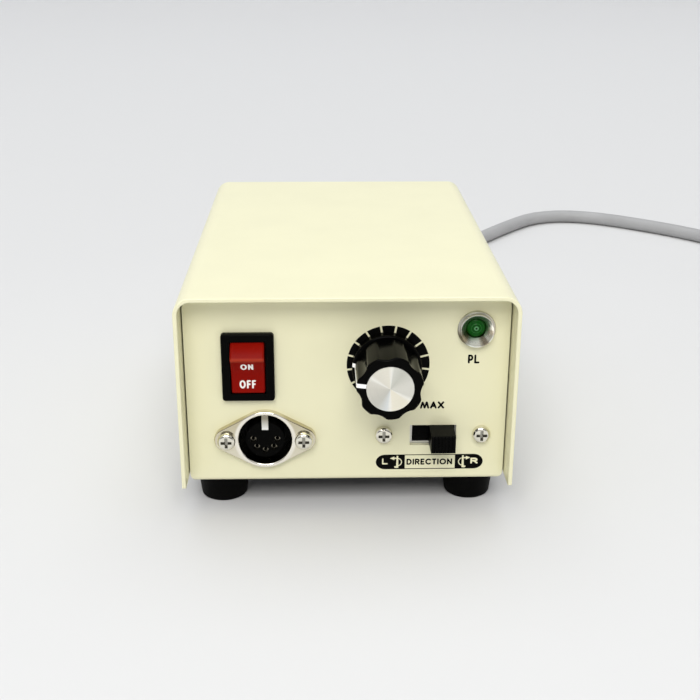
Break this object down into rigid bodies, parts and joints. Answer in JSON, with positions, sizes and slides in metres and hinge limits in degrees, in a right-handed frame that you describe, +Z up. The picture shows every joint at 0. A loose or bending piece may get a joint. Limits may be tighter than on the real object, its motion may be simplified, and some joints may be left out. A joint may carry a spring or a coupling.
{
  "type": "dental micromotor control unit",
  "caption": "Bench control box for a dental micromotor: speed knob, rocker power switch, round motor socket, direction slide switch, pilot lamp and a mains lead.",
  "frame": {"origin": "on the surface the unit stands on, under the middle of the box with its knob and rear fittings", "axes": "+X to the right seen from the front, +Y to the back, +Z up; the control panel faces -Y"},
  "size_m": [0.367, 0.3657, 0.0696],
  "materials": {
    "cover_paint": "semi-gloss",
    "panel_paint": "satin",
    "black_rubber": "matte",
    "zinc_steel": "satin",
    "knob_plastic": "gloss",
    "spun_aluminium": "spun",
    "white_line": "satin",
    "black_plastic": "satin",
    "red_plastic": "satin",
    "nickel": "bright",
    "brass_contact": "bright",
    "green_lens": "clear gloss",
    "core_steel": "dull",
    "winding_tape": "satin",
    "board_laminate": "satin",
    "white_plastic": "satin",
    "sink_aluminium": "satin",
    "fuse_glass": "clear",
    "cord_jacket": "satin"
  },
  "bodies": {
    "case": {"top_cover": "cover_paint", "chassis": "panel_paint", "cover_screws": "zinc_steel", "foot_front_left": "black_rubber", "foot_front_right": "black_rubber", "foot_rear_left": "black_rubber", "foot_rear_right": "black_rubber", "foot_screws": "zinc_steel", "base_nuts": "zinc_steel", "pot_body": "zinc_steel", "pot_washer": "zinc_steel", "pot_nut": "nickel", "pot_terminals": "nickel", "rocker_housing": "black_plastic", "rocker_terminals": "brass_contact", "slide_frame": "zinc_steel", "slide_body": "black_plastic", "slide_screws": "nickel", "slide_terminals": "brass_contact", "socket_shell": "nickel", "socket_insert": "black_plastic", "socket_contacts": "brass_contact", "socket_key": "nickel", "socket_screws": "nickel", "socket_nuts": "zinc_steel", "lamp_bezel": "nickel", "lamp_led": "green_lens", "lamp_nut": "zinc_steel", "transformer_core": "core_steel", "transformer_winding": "winding_tape", "transformer_bracket": "zinc_steel", "transformer_screws": "zinc_steel", "circuit_board": "board_laminate", "board_spacers": "white_plastic", "board_screws": "zinc_steel", "filter_capacitor": "black_plastic", "bridge_rectifier": "black_plastic", "power_transistor": "black_plastic", "heat_sink": "sink_aluminium", "board_resistors": "white_plastic", "fuse_holder": "black_plastic", "fuse_nut": "black_plastic", "glass_fuse": "fuse_glass", "pedal_jack": "black_plastic", "pedal_jack_nut": "nickel", "strain_relief": "black_rubber", "mains_cord": "cord_jacket", "cord_coil": "cord_jacket", "cord_tail": "cord_jacket", "coil_tie": "white_plastic", "plug_body": "cord_jacket", "plug_pins": "brass_contact"},
    "knob": {"speed_knob": "knob_plastic", "knob_cap": "spun_aluminium", "knob_pointer": "white_line", "knob_set_screw": "zinc_steel", "pot_shaft": "spun_aluminium"},
    "rocker": {"rocker_paddle": "red_plastic"},
    "lever": {"slide_lever": "black_plastic"},
    "fuse_cap": {"fuse_cap": "black_plastic"}
  },
  "joints": [
    {"name": "speed_turn", "type": "hinge", "parent": "case", "child": "knob", "pos_m": [0.01125, -0.06185, 0.047], "axis": [0, 1, 0], "range_deg": [-67, 233]},
    {"name": "power_rock", "type": "hinge", "parent": "case", "child": "rocker", "pos_m": [-0.0283, -0.05915, 0.0467], "axis": [1, 0, 0], "range_deg": [-37, 0]},
    {"name": "direction_slide", "type": "slide", "parent": "case", "child": "lever", "axis": [1, 0, 0], "range_m": [-0.0042, 0]},
    {"name": "fuse_turn", "type": "hinge", "parent": "case", "child": "fuse_cap", "pos_m": [-0.0364, 0.07, 0.0443], "axis": [0, 1, 0], "range_deg": [0, 90]}
  ]
}
